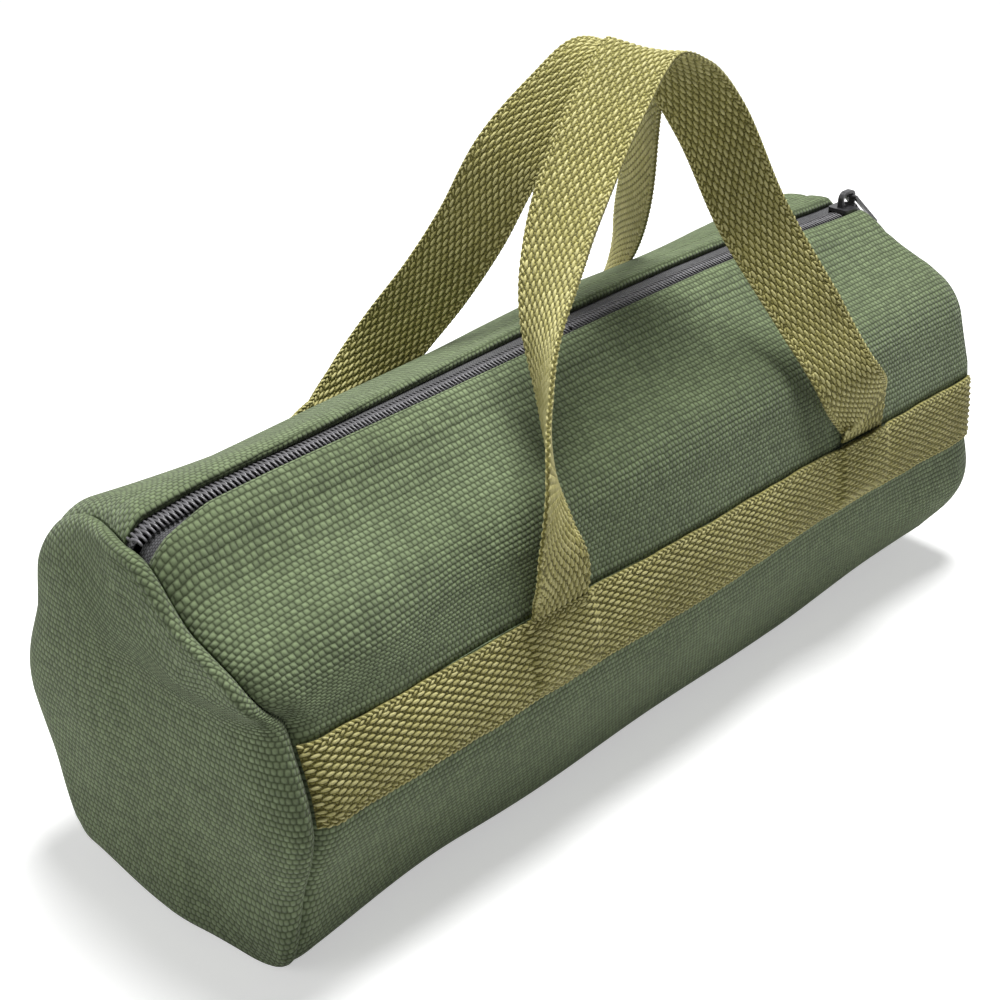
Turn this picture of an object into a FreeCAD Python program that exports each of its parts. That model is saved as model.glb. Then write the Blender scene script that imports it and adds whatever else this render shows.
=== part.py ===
import FreeCAD, Part
import math
import os
from FreeCAD import Vector

os.makedirs("parts", exist_ok=True)

# Zippered tool bag, in millimetres.
# Origin: centre of the flat base. +X runs along the bag to the end where the zipper closes, +Z is up.

# Section of the bag: the corners before they are rounded, from the crown down to the base
BAG_LENGTH = 344.0
BAG_HEIGHT = 137.5
CROWN_WIDTH = 20.0
SHOULDER_WIDTH = 100.0
SHOULDER_DROP = 19.5
WAIST_WIDTH = 130.0
WAIST_HEIGHT = 56.0
BASE_WIDTH = 92.0
CROWN_RADIUS = 25.0
SHOULDER_RADIUS = 24.0
WAIST_RADIUS = 70.0
BASE_RADIUS = 16.0

# Cloth and webbing
CANVAS = 1.6
WEBBING = 1.6
WEBBING_WIDTH = 25.0
STRIP_TOP_HEIGHT = 82.5
TUCK = 21.0
EASE = 0.3

# End panels
END_DEPTH = 11.0
RIM_RADIUS = 8.0
DIP_DEPTH = 0.5

# Lips of the mouth: folded edges of the canvas beside the zipper
FRONT_LIP_GAP = 5.5
REAR_LIP_GAP = 8.5
HEM = 11.0
LIP_END_EASE = 0.5

# Zipper chain
TAPE = 0.6
TAPE_WIDTH = 16.0
COIL_HALF_WIDTH = 3.1
COIL_HEIGHT = 2.2
SPINE_WIDTH = 1.6
TOOTH_REACH = 1.2
TOOTH_BULB = 0.4
TOOTH_ROOT_WIDTH = 0.7
TOOTH_HEAD_WIDTH = 1.1
TOOTH_TIP_WIDTH = 0.6
TOOTH_PITCH = 2.6

# Slider and pull
SLIDER_LENGTH = 11.0
SLIDER_WIDTH = 9.0
SLIDER_END_EASE = 0.5
NOSE_LENGTH = 3.0
NOSE_WIDTH = 3.0
PLATE = 1.3
CHANNEL_EASE = 0.4
POST_WIDTH = 2.0
POST_LENGTH = 4.0
POST_SETBACK = 1.0
BAIL_WIDTH = 2.2
BAIL_BAR = 1.2
BAIL_HEIGHT = 6.0
BAIL_LENGTH = 9.0
BAIL_RADIUS = 3.0
PULL_LENGTH = 24.0
PULL_WIDTH = 6.6
PULL_THICKNESS = 1.2
PULL_PIN_RADIUS = 0.7
PULL_SLOT_WIDTH = 3.4
PULL_TIP = 5.0
PULL_TIP_RADIUS = 2.4
PULL_DROOP = 40.0

# Handles: where the straps are sewn in and how high they stand
HANDLE_CENTRE = 13.5
HANDLE_SPAN = 165.0
HANDLE_RISE = 144.0
FRONT_APEX_OFFSET = 8.0
REAR_APEX_OFFSET = 16.5
REAR_APEX_DROP = 8.5
FRONT_APEX_TILT = 28.0
REAR_APEX_TILT = 0.0
FLAT_FOOT = 8.0
FOOT_LIFT = 2.5
STRAP_STATIONS = 40

FRONT = -1
REAR = 1


# The section is a chain of straight and round pieces (length, start, end, centre), crown to base

def rounded_chain(corners, radii):
    pieces = []
    start = corners[0]
    for before, corner, after, radius in zip(corners, corners[1:], corners[2:], radii):
        way_in = (corner - before).normalize()
        way_out = (after - corner).normalize()
        turn = way_in.getAngle(way_out)
        reach = radius * math.tan(turn / 2)
        begin = corner - way_in * reach
        end = corner + way_out * reach
        centre = begin + Vector(way_in.y, -way_in.x, 0) * radius
        pieces.append(((begin - start).Length, start, begin, None))
        pieces.append((radius * turn, begin, end, centre))
        start = end
    pieces.append(((corners[-1] - start).Length, start, corners[-1], None))
    return pieces


SECTION = rounded_chain(
    [
        Vector(0, BAG_HEIGHT, 0),
        Vector(CROWN_WIDTH / 2, BAG_HEIGHT, 0),
        Vector(SHOULDER_WIDTH / 2, BAG_HEIGHT - SHOULDER_DROP, 0),
        Vector(WAIST_WIDTH / 2, WAIST_HEIGHT, 0),
        Vector(BASE_WIDTH / 2, 0, 0),
        Vector(0, 0, 0),
    ],
    [CROWN_RADIUS, SHOULDER_RADIUS, WAIST_RADIUS, BASE_RADIUS],
)
BREAKS = [sum(piece[0] for piece in SECTION[: i + 1]) for i in range(len(SECTION))]
BASE_CENTRE = BREAKS[-1]


def at(station, out):
    """Point of the half section: station mm along the canvas from the crown, out mm off its face."""
    for length, start, end, centre in SECTION:
        if station <= length:
            break
        station -= length
    if centre is None:
        way = (end - start).normalize()
        return start + way * station + Vector(-way.y, way.x, 0) * out
    arm = start - centre
    angle = -station / arm.Length
    turned = Vector(
        arm.x * math.cos(angle) - arm.y * math.sin(angle),
        arm.x * math.sin(angle) + arm.y * math.cos(angle),
        0,
    )
    return centre + turned * ((arm.Length + out) / arm.Length)


def place(side, x, point):
    return Vector(x, side * point.x, point.y)


def run(side, first, last, out, x):
    """Edges along the section from one station to another."""
    low, high = sorted((first, last))
    stops = [low] + [s for s in BREAKS if low < s < high] + [high]
    edges = []
    for a, b in zip(stops, stops[1:]):
        ends = [place(side, x, at(s, out)) for s in (a, (a + b) / 2, b)]
        if abs(ends[0].distanceToLine(ends[1], ends[2] - ends[1])) < CANVAS / 1000:
            edges.append(Part.LineSegment(ends[0], ends[2]).toShape())
        else:
            edges.append(Part.Arc(*ends).toShape())
    return edges


def join(side, x, a, b):
    return Part.LineSegment(place(side, x, at(*a)), place(side, x, at(*b))).toShape()


def sheet(edges, length):
    return Part.Face(Part.Wire(Part.__sortEdges__(edges))).extrude(Vector(length, 0, 0))


def band(side, first, last, inner, outer, x0, x1):
    """Cloth lying on the section between two stations and two depths, from x0 to x1."""
    edges = run(side, first, last, outer, x0) + run(side, first, last, inner, x0)
    edges.append(join(side, x0, (first, inner), (first, outer)))
    edges.append(join(side, x0, (last, inner), (last, outer)))
    return sheet(edges, x1 - x0)


def station_of_height(height):
    low, high = 0.0, BASE_CENTRE
    while high - low > CANVAS / 10000:
        middle = (low + high) / 2
        low, high = (middle, high) if at(middle, 0).y > height else (low, middle)
    return low


def save(shape, node):
    shape.exportStep("parts/" + node + ".step")


HALF_LENGTH = BAG_LENGTH / 2
STRIP_TOP = station_of_height(STRIP_TOP_HEIGHT)
STRIP_BOTTOM = STRIP_TOP + WEBBING_WIDTH
FOOT_LEFT = HANDLE_CENTRE - HANDLE_SPAN / 2
FOOT_RIGHT = HANDLE_CENTRE + HANDLE_SPAN / 2


# Body wrap: the lower canvas, up the front, under the base and up the rear to the webbing strips

wrap = band(FRONT, STRIP_TOP, BASE_CENTRE, -CANVAS, 0, -HALF_LENGTH, HALF_LENGTH)
wrap = wrap.fuse(band(REAR, STRIP_TOP, BASE_CENTRE, -CANVAS, 0, -HALF_LENGTH, HALF_LENGTH))
save(wrap.removeSplitter(), "body_wrap")


# End panels: shallow pans of canvas with a puffed rim, dipped at the top where the zipper runs out

def pan_block(out, depth, soften):
    edges = run(FRONT, 0, BASE_CENTRE, out, HALF_LENGTH) + run(REAR, 0, BASE_CENTRE, out, HALF_LENGTH)
    block = sheet(edges, depth)
    far = [e for e in block.Edges if min(v.X for v in e.Vertexes) > HALF_LENGTH + depth / 2]
    dip = Part.makeBox(BAG_LENGTH, WAIST_WIDTH, BAG_HEIGHT)
    dip.translate(Vector(-HALF_LENGTH, -WAIST_WIDTH / 2, 0))
    dip.rotate(Vector(0, 0, 0), Vector(0, 1, 0), PULL_DROOP)
    dip.translate(Vector(HALF_LENGTH, 0, BAG_HEIGHT - DIP_DEPTH + out / math.cos(math.radians(PULL_DROOP))))
    return soften(block, far).cut(dip)


pan = pan_block(0, END_DEPTH, lambda block, rim: block.makeFillet(RIM_RADIUS, rim))
bevel = RIM_RADIUS - 2 * CANVAS
pan = pan.cut(pan_block(-CANVAS, END_DEPTH - CANVAS, lambda block, rim: block.makeChamfer(bevel, rim)))
save(pan, "right_end_panel")
save(pan.mirror(Vector(0, 0, 0), Vector(1, 0, 0)), "left_end_panel")


# Strap ends and side strips: the webbing strip is lifted over the strap ends sewn beneath it

def side_strip(side):
    half = WEBBING_WIDTH / 2 + EASE
    spans = [(FOOT_LEFT - half, FOOT_LEFT + half), (FOOT_RIGHT - half, FOOT_RIGHT + half)]
    strip = None
    x = -HALF_LENGTH
    for left, right in spans:
        pieces = [
            band(side, STRIP_TOP, STRIP_BOTTOM, 0, WEBBING, x, left),
            band(side, STRIP_TOP, STRIP_BOTTOM, WEBBING, 2 * WEBBING, left - WEBBING, right + WEBBING),
            band(side, STRIP_TOP + TUCK + EASE, STRIP_BOTTOM, 0, WEBBING, left, right),
        ]
        strip = pieces[0].multiFuse(pieces[1:] + ([strip] if strip else []))
        x = right
    strip = strip.fuse(band(side, STRIP_TOP, STRIP_BOTTOM, 0, WEBBING, x, HALF_LENGTH))
    return strip.removeSplitter()


for side, name in ((FRONT, "front"), (REAR, "rear")):
    save(side_strip(side), name + "_side_strip")
    for foot, end in ((FOOT_LEFT, "left"), (FOOT_RIGHT, "right")):
        x0 = foot - WEBBING_WIDTH / 2
        tab = band(side, STRIP_TOP, STRIP_TOP + TUCK, 0, WEBBING, x0, x0 + WEBBING_WIDTH)
        save(tab, name + "_" + end + "_strap_end")


# Upper panels: canvas from the strip up to the zipper, its edge folded under and round at the fold

LIP_HALF_LENGTH = HALF_LENGTH - LIP_END_EASE


def upper_panel(side, gap):
    fold = gap + CANVAS
    root = STRIP_TOP - EASE
    x = -LIP_HALF_LENGTH
    nose = [place(side, x, at(*p)) for p in ((fold, -2 * CANVAS), (fold - CANVAS, -CANVAS), (fold, 0))]
    edges = run(side, fold, root, 0, x) + run(side, fold + HEM, root, -CANVAS, x)
    edges += run(side, fold, fold + HEM, -2 * CANVAS, x)
    edges.append(join(side, x, (root, 0), (root, -CANVAS)))
    edges.append(join(side, x, (fold + HEM, -CANVAS), (fold + HEM, -2 * CANVAS)))
    edges.append(Part.Arc(*nose).toShape())
    return sheet(edges, 2 * LIP_HALF_LENGTH)


save(upper_panel(FRONT, FRONT_LIP_GAP), "front_upper_panel")
save(upper_panel(REAR, REAR_LIP_GAP), "rear_upper_panel")


# Zipper chain: two tapes under the folds, each with a coil drawn as a comb of bulbed teeth.
# The combs mesh half a pitch apart and end inside the slider; its post passes between the tapes.

TAPE_TOP = BAG_HEIGHT - 2 * CANVAS
COIL_TOP = TAPE_TOP + COIL_HEIGHT
SLIDER_NOSE = HALF_LENGTH - SLIDER_END_EASE
SLIDER_TAIL = SLIDER_NOSE - SLIDER_LENGTH
POST_POINT = SLIDER_NOSE - POST_SETBACK - POST_LENGTH
TAPE_EDGE = COIL_HALF_WIDTH - SPINE_WIDTH


def tape(side):
    top = -2 * CANVAS
    return band(side, TAPE_EDGE, TAPE_WIDTH, top - TAPE, top, -LIP_HALF_LENGTH, LIP_HALF_LENGTH)


def coil(side, shift):
    root = TAPE_EDGE
    start, end = -LIP_HALF_LENGTH, POST_POINT - CHANNEL_EASE
    count = int((end - start) / TOOTH_PITCH) - 1
    plan = [(start, COIL_HALF_WIDTH), (start, root)]
    for i in range(count):
        x = start + (i + shift) * TOOTH_PITCH
        plan += [(x - TOOTH_ROOT_WIDTH / 2, root), (x - TOOTH_HEAD_WIDTH / 2, -TOOTH_BULB)]
        plan += [(x - TOOTH_TIP_WIDTH / 2, -TOOTH_REACH), (x + TOOTH_TIP_WIDTH / 2, -TOOTH_REACH)]
        plan += [(x + TOOTH_HEAD_WIDTH / 2, -TOOTH_BULB), (x + TOOTH_ROOT_WIDTH / 2, root)]
    plan += [(end, root), (end, COIL_HALF_WIDTH)]
    corners = [Vector(x, side * y, TAPE_TOP) for x, y in plan]
    return Part.Face(Part.makePolygon(corners + corners[:1])).extrude(Vector(0, 0, COIL_HEIGHT))


save(tape(FRONT), "front_zipper_tape")
save(tape(REAR), "rear_zipper_tape")
save(coil(FRONT, 0.5), "front_zipper_coil")
save(coil(REAR, 1.0), "rear_zipper_coil")


# Slider: two plates held apart by a wedge post, flanges down the sides of the coil

def slider_plan(z, height):
    half, nose = SLIDER_WIDTH / 2, NOSE_WIDTH / 2
    neck = SLIDER_NOSE - NOSE_LENGTH
    plan = [(SLIDER_TAIL, half), (neck, half), (SLIDER_NOSE, nose)]
    corners = [Vector(x, y, z) for x, y in plan] + [Vector(x, -y, z) for x, y in reversed(plan)]
    plate = Part.Face(Part.makePolygon(corners + corners[:1])).extrude(Vector(0, 0, height))
    upright = [e for e in plate.Edges if abs(e.Vertexes[0].Z - e.Vertexes[-1].Z) > height / 2]
    return plate.makeFillet(PLATE, upright)


PLATE_BOTTOM = COIL_TOP + EASE
PLATE_TOP = PLATE_BOTTOM + PLATE
LOWER_TOP = TAPE_TOP - TAPE - EASE
wedge = [
    Vector(POST_POINT, 0, LOWER_TOP),
    Vector(POST_POINT + POST_LENGTH / 2, POST_WIDTH / 2, LOWER_TOP),
    Vector(POST_POINT + POST_LENGTH, POST_WIDTH / 2, LOWER_TOP),
    Vector(POST_POINT + POST_LENGTH, -POST_WIDTH / 2, LOWER_TOP),
    Vector(POST_POINT + POST_LENGTH / 2, -POST_WIDTH / 2, LOWER_TOP),
]
post = Part.Face(Part.makePolygon(wedge + wedge[:1])).extrude(Vector(0, 0, PLATE_BOTTOM - LOWER_TOP))
flange_foot = TAPE_TOP + EASE
rails = slider_plan(flange_foot, PLATE_BOTTOM - flange_foot)
channel = Part.makeBox(BAG_LENGTH, 2 * (COIL_HALF_WIDTH + CHANNEL_EASE), BAG_HEIGHT)
channel.translate(Vector(SLIDER_TAIL - HALF_LENGTH, -COIL_HALF_WIDTH - CHANNEL_EASE, 0))
slider = slider_plan(PLATE_BOTTOM, PLATE).multiFuse(
    [slider_plan(LOWER_TOP - PLATE, PLATE), rails.cut(channel), post]
)
save(slider.removeSplitter(), "slider_body")


# Bail: the arched crown on the slider that the pull hangs from

BAIL_NOSE = SLIDER_NOSE - EASE
bail = Part.makeBox(BAIL_LENGTH, BAIL_WIDTH, BAIL_HEIGHT)
shoulders = [
    e for e in bail.Edges if min(v.Z for v in e.Vertexes) > BAIL_HEIGHT / 2 and e.Length < BAIL_LENGTH / 2
]
bail = bail.makeFillet(BAIL_RADIUS, shoulders)
eye = Part.makeBox(BAIL_LENGTH - 2 * BAIL_BAR, 2 * BAIL_WIDTH, BAIL_HEIGHT - BAIL_BAR)
eye.translate(Vector(BAIL_BAR, -BAIL_WIDTH / 2, 0))
eye_tops = [
    e for e in eye.Edges
    if min(v.Z for v in e.Vertexes) > BAIL_HEIGHT / 2 and abs(e.tangentAt(e.FirstParameter).y) > EASE
]
bail = bail.cut(eye.makeFillet(BAIL_RADIUS - BAIL_BAR, eye_tops))
bail.translate(Vector(BAIL_NOSE - BAIL_LENGTH, -BAIL_WIDTH / 2, PLATE_TOP))
save(bail, "slider_bail")


# Pull tab: a slotted tab on a pin through the bail, drooping over the end of the bag

PIN_X = BAIL_NOSE - BAIL_BAR - 2 * EASE - PULL_PIN_RADIUS
PIN_Z = PLATE_TOP + BAIL_HEIGHT - BAIL_BAR - 2 * EASE - PULL_PIN_RADIUS
tab = Part.makeBox(PULL_LENGTH, PULL_WIDTH, PULL_THICKNESS)
tip = [
    e for e in tab.Edges
    if min(v.X for v in e.Vertexes) > PULL_LENGTH / 2 and e.Length < PULL_WIDTH / 2
]
tab = tab.makeFillet(PULL_TIP_RADIUS, tip)
slot = Part.makeBox(PULL_LENGTH - PULL_TIP, PULL_SLOT_WIDTH, PULL_THICKNESS)
slot.translate(Vector(0, (PULL_WIDTH - PULL_SLOT_WIDTH) / 2, 0))
tab = tab.cut(slot)
tab.translate(Vector(0, -PULL_WIDTH / 2, -PULL_THICKNESS / 2))
pin = Part.makeCylinder(PULL_PIN_RADIUS, PULL_WIDTH, Vector(0, -PULL_WIDTH / 2, 0), Vector(0, 1, 0))
pull = tab.fuse(pin).removeSplitter()
pull.rotate(Vector(0, 0, 0), Vector(0, 1, 0), PULL_DROOP)
pull.translate(Vector(PIN_X, 0, PIN_Z))
save(pull, "pull_tab")


# Handle straps: webbing that leaves the strip flat, arches over and turns half round on its way.
# Each line is given as fractions, across the span, up the rise and out from the apex to the foot,
# with the turn of the strap in degrees.

FRONT_LINE = [
    (-1.03, 0.15, 1.01, 16), (-1.02, 0.28, 0.93, 41), (-0.91, 0.40, 0.72, 53), (-0.75, 0.54, 0.48, 69),
    (-0.55, 0.67, 0.29, 94), (-0.34, 0.79, 0.18, 106), (-0.12, 0.92, 0.09, 112), (0.13, 1.00, 0.00, 118),
    (0.33, 0.94, 0.03, 127), (0.47, 0.81, 0.15, 136), (0.61, 0.58, 0.39, 141), (0.71, 0.35, 0.80, 148),
    (0.80, 0.19, 1.05, 161),
]
REAR_LINE = [
    (-0.96, 0.10, 1.04, 6), (-0.85, 0.16, 1.06, 20), (-0.71, 0.22, 1.07, 36), (-0.54, 0.30, 1.01, 48),
    (-0.39, 0.44, 0.77, 54), (-0.26, 0.60, 0.50, 57), (-0.12, 0.78, 0.28, 62), (0.04, 0.92, 0.10, 72),
    (0.21, 1.00, 0.00, 90), (0.43, 0.96, 0.02, 100), (0.62, 0.81, 0.15, 112), (0.78, 0.56, 0.43, 124),
    (0.92, 0.33, 0.84, 140), (0.97, 0.17, 1.09, 163),
]


def strap(side, line, apex_offset, tilt, rise):
    foot = at(STRIP_TOP - EASE, EASE + WEBBING / 2)
    shin = at(STRIP_TOP - EASE - FLAT_FOOT, EASE + WEBBING / 2) - foot
    ankle = at(STRIP_TOP - EASE - FLAT_FOOT, EASE + WEBBING / 2 + FOOT_LIFT)
    points = [place(side, FOOT_LEFT, foot), place(side, FOOT_LEFT, ankle)]
    for across, up, out, _ in line:
        x = HANDLE_CENTRE + across * HANDLE_SPAN / 2
        points.append(place(side, x, Vector(apex_offset + out * (foot.x - apex_offset), foot.y + up * rise, 0)))
    points += [place(side, FOOT_RIGHT, ankle), place(side, FOOT_RIGHT, foot)]
    path = Part.BSplineCurve()
    path.interpolate(points)
    turns = [0, 0] + [turn for _, _, _, turn in line] + [180, 180]
    stops = [path.parameter(point) for point in points]
    twist = Part.BSplineCurve()
    twist.interpolate(Points=[Vector(turn, stop, 0) for turn, stop in zip(turns, stops)], Parameters=stops)
    feet = {0: place(side, 0, shin), STRAP_STATIONS - 1: -place(side, 0, shin)}
    lean = Vector(0, side * (apex_offset - foot.x), rise).normalize()
    level = lean.cross(Vector(-side, 0, 0)).normalize()
    inward = level * math.cos(math.radians(tilt)) + lean * math.sin(math.radians(tilt))
    sections = []
    for i in range(STRAP_STATIONS):
        u = path.parameterAtDistance(path.length() * i / (STRAP_STATIONS - 1))
        way = feet.get(i, Vector(*path.tangent(u)[0])).normalize()
        turn = math.radians(twist.value(u).x)
        across = Vector(1, 0, 0) * math.cos(turn) + inward * math.sin(turn)
        across = (across - way * across.dot(way)).normalize() * (WEBBING_WIDTH / 2)
        thick = way.cross(across).normalize() * (WEBBING / 2)
        centre = path.value(u)
        near, far = centre + across, centre - across
        sections.append([near + thick, far + thick, far - thick, near - thick])
    faces = [Part.Face(Part.makePolygon(end + end[:1])) for end in (sections[0], sections[-1])]
    for here, there in zip(sections, sections[1:]):
        for a, b, c, d in zip(here, here[1:] + here[:1], there, there[1:] + there[:1]):
            faces.append(Part.makeRuledSurface(Part.makeLine(a, b), Part.makeLine(c, d)))
    shell = Part.Shell(faces)
    shell.sewShape()
    return Part.Solid(shell)


front_strap = strap(FRONT, FRONT_LINE, FRONT_APEX_OFFSET, FRONT_APEX_TILT, HANDLE_RISE)
rear_strap = strap(REAR, REAR_LINE, REAR_APEX_OFFSET, REAR_APEX_TILT, HANDLE_RISE - REAR_APEX_DROP)
save(front_strap, "front_handle_strap")
save(rear_strap, "rear_handle_strap")
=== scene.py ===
import math

import bmesh
import bpy
import numpy as np
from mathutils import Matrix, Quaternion, Vector


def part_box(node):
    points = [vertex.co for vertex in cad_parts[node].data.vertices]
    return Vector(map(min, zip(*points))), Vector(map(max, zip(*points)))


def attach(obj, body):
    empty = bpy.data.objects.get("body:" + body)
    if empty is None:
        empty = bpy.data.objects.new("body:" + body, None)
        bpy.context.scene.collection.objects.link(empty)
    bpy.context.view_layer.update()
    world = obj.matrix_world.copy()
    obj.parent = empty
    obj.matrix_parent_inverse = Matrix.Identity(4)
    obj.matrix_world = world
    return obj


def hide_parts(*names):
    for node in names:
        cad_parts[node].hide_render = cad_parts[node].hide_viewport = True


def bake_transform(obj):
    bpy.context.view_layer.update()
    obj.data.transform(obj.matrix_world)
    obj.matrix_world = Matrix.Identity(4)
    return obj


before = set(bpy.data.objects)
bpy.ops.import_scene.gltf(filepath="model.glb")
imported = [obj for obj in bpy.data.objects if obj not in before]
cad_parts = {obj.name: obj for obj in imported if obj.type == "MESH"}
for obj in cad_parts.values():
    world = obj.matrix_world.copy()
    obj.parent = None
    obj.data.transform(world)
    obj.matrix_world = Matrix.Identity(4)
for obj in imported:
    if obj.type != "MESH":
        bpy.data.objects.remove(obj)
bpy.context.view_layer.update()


# Body wrap: one length of heavy green canvas, up the front, under the base and up the rear.
# It is sewn to the end panels along its two ends, and the webbing strips cover its top edges.

bag_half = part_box("body_wrap")[1].x
canvas_thick = 0.0016
front, rear = -1, 1


def half_section():
    """The taut bag's half outline, from the middle of the top to the middle of the base:
    length along the cloth, then (across, up), then the way out of the cloth, every quarter millimetre."""
    corners = np.array([(0, 0.1375), (0.010, 0.1375), (0.050, 0.118), (0.065, 0.056), (0.046, 0), (0, 0)])
    radii = (0.025, 0.024, 0.070, 0.016)
    points = [corners[0]]
    for before, corner, after, radius in zip(corners, corners[1:], corners[2:], radii):
        way_in = (corner - before) / np.linalg.norm(corner - before)
        way_out = (after - corner) / np.linalg.norm(after - corner)
        turn = math.acos(way_in @ way_out)
        start = corner - way_in * radius * math.tan(turn / 2)
        centre = start + np.array((way_in[1], -way_in[0])) * radius
        arm = start - centre
        for a in np.linspace(0, -turn, 24):
            cos, sin = math.cos(a), math.sin(a)
            points.append(centre + (arm[0] * cos - arm[1] * sin, arm[0] * sin + arm[1] * cos))
    points = np.array(points + [corners[-1]])
    run = np.concatenate([[0], np.cumsum(np.linalg.norm(np.diff(points, axis=0), axis=1))])
    station = np.append(np.arange(0, run[-1], 0.00025), run[-1])
    line = np.stack([np.interp(station, run, points[:, k]) for k in (0, 1)], axis=1)
    way = np.gradient(line, station, axis=0)
    way /= np.linalg.norm(way, axis=1)[:, None]
    return station, line, np.stack([-way[:, 1], way[:, 0]], axis=1)


section_run, section_at, section_out = half_section()
base_middle = section_run[-1]
strip_top = float(np.interp(-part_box("body_wrap")[1].z, -section_at[:, 1], section_run))


def on_section(station):
    """Across, up and the way out of the cloth in both, at a length along the half outline."""
    return [np.interp(station, section_run, column) for column in (*section_at.T, *section_out.T)]


def ease(t):
    """From 0 to 1 as t goes, with a soft start and stop."""
    t = np.clip(t, 0, 1)
    return t * t * (3 - 2 * t)


def ramp(value, start, run):
    """0 up to a start, eased to 1 over a run from there."""
    return ease((value - start) / run)


def bell(value, middle, spread):
    """1 at a middle, fading out to both sides of it."""
    return np.exp(-(((value - middle) / spread) ** 2))


# How far the used bag's zipper line and its two shoulders lie above the taut one's, at places along it
zip_lift = [
    (-0.172, -0.0060), (-0.15, -0.0028), (-0.13, -0.0018), (-0.07, -0.0008),
    (0.0, 0.0010), (0.07, 0.0026), (0.12, 0.0020), (0.155, 0.0),
]
front_lift = [
    (-0.172, -0.0175), (-0.14, -0.0130), (-0.10, -0.0090), (-0.05, -0.0065),
    (0.0, -0.0050), (0.10, -0.0040), (0.15, -0.0035), (0.172, -0.0038),
]
rear_lift = [
    (-0.172, -0.0010), (-0.15, -0.0022), (-0.12, -0.0036), (-0.09, -0.0024),
    (0.0, 0.0020), (0.07, 0.0042), (0.124, 0.0070), (0.172, 0.0080),
]

# Heights of the strips' top edge and middle, then how far the cloth has moved elsewhere, at most
strip_edge_up, strip_middle_up = 0.083, 0.070
left_top_out, left_belly_out, left_base_out = 0.009, 0.003, 0.002
right_top_out, right_low_out, right_low_wide = 0.0035, 0.003, 0.006
strip_lean, left_pinch, left_corner_wide = 0.0022, 0.0005, 0.003
right_base_lift, left_corner_flat = 0.0075, 0.5
left_dive, right_dive, dive_before_seam = 0.35, 0.8, 0.006

# Where those moves ease in, as (start, run), and where they are greatest, as (middle, spread)
left_end, right_end, right_base = (0.10, 0.072), (0.12, 0.052), (0.07, 0.10)
front_shoulder, rear_shoulder, beside_zip = (0, 0.026), (0, 0.036), (0.004, 0.030)
above_strip, end_top, rear_corner = (strip_edge_up, 0.034), (strip_edge_up, 0.045), (0.100, 0.022)
past_seam, off_middle, base_corner, low_down = (0.004, 0.008), (0, 0.03), (0.02, 0.02), (0, 0.035)
lean_at, pinch_at = (strip_middle_up, 0.035), (0.030, 0.016)
full_at, belly_at = (0.034, 0.022), (0.072, 0.030)
strip_half, lean_most = 0.0125, 1.3
bulge_fades, corner_sinks = 0.75, 0.75


def slump(points):
    """Where points of the taut bag lie on the used one: the front shoulder has sunk and the rear one stands,
    the zipper dives into the end seams, whose tops bulge out, and the webbing strips lean."""
    x, y, z = (points[..., k].copy() for k in range(3))
    wide, past = np.abs(y), np.abs(x) - bag_half
    lifts = [np.interp(x, *np.array(knots).T) for knots in (front_lift, zip_lift, rear_lift)]
    to_front, to_rear = ramp(-y, *front_shoulder), ramp(y, *rear_shoulder)
    lift = lifts[1] + (lifts[0] - lifts[1]) * to_front + (lifts[2] - lifts[1]) * to_rear
    top = ramp(z, *above_strip)
    dive = np.maximum(past + dive_before_seam, 0) * (1 - ramp(wide, *beside_zip)) * top
    near, far = ramp(-x, *left_end), ramp(x, *right_end)
    bulge = ramp(z, *end_top) * (1 - bulge_fades * ramp(past, *past_seam))
    tilt = np.clip((z - strip_middle_up) / strip_half, -lean_most, lean_most)
    lean = tilt * bell(z, *lean_at) * x / bag_half
    pinch = near * bell(z, *pinch_at)
    low = 1 - ramp(z, *low_down)
    full = far * bell(z, *full_at)
    side = ramp(wide, *off_middle) * np.sign(y)
    behind = ramp(y, *off_middle)
    sunk_corner = corner_sinks * behind * ramp(z, *rear_corner)
    belly = behind * bell(z, *belly_at)
    sharp = near * low * ramp(wide, *base_corner) * (y < 0)
    raised = right_base_lift * low * ramp(x, *right_base)
    left_top = left_top_out * bulge * (1 - sunk_corner)
    left_out = near * (left_top + left_belly_out * belly + left_base_out * low)
    right_out = right_top_out * far * bulge + right_low_out * full
    wider = strip_lean * lean - left_pinch * pinch + right_low_wide * full + left_corner_wide * sharp
    dives = np.where(x < 0, left_dive, right_dive) * dive
    height = z * (1 - left_corner_flat * sharp) + lift * top - dives + raised
    return np.stack([x - left_out + right_out, y + side * wider, height], axis=-1)


# Slow swells over the cloth, as (height, waves along, waves around, share of the side's sign)
swells = [(0.0006, 31, 19, 0), (0.0005, 52, -37, 1)]
swell_from_zip, swell_from_base = 0.03, 0.06
seam_wide, seam_round = 0.009, 0.97
left_seam_deep, right_seam_deep = 0.0055, 0.0024
base_seam_share, base_seam_run = 0.15, 0.04


def on_cloth(side, x, station, out):
    """Points on the used bag: x along it, station down from the zipper, out from the canvas's face."""
    x, station, out = np.broadcast_arrays(x, station, out)
    across, up, across_out, up_out = on_section(station)
    near_end = np.clip((np.abs(x) - bag_half + seam_wide) / seam_wide, 0, 1)
    swell = sum(high * np.sin(a * x + b * station + c * side) for high, a, b, c in swells) * (1 - near_end)
    swell = swell * ease(station / swell_from_zip) * ease((base_middle - station) / swell_from_base)
    full_seam = base_seam_share + (1 - base_seam_share) * ease(up / base_seam_run)
    rounding = (1 - np.sqrt(1 - seam_round * near_end**2)) * full_seam
    out = out + swell - np.where(x < 0, left_seam_deep, right_seam_deep) * rounding
    return slump(np.stack([x, side * (across + across_out * out), up + up_out * out], axis=-1))


def face_outward(mesh):
    work = bmesh.new()
    work.from_mesh(mesh)
    bmesh.ops.recalc_face_normals(work, faces=work.faces)
    work.to_mesh(mesh)
    work.free()


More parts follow.
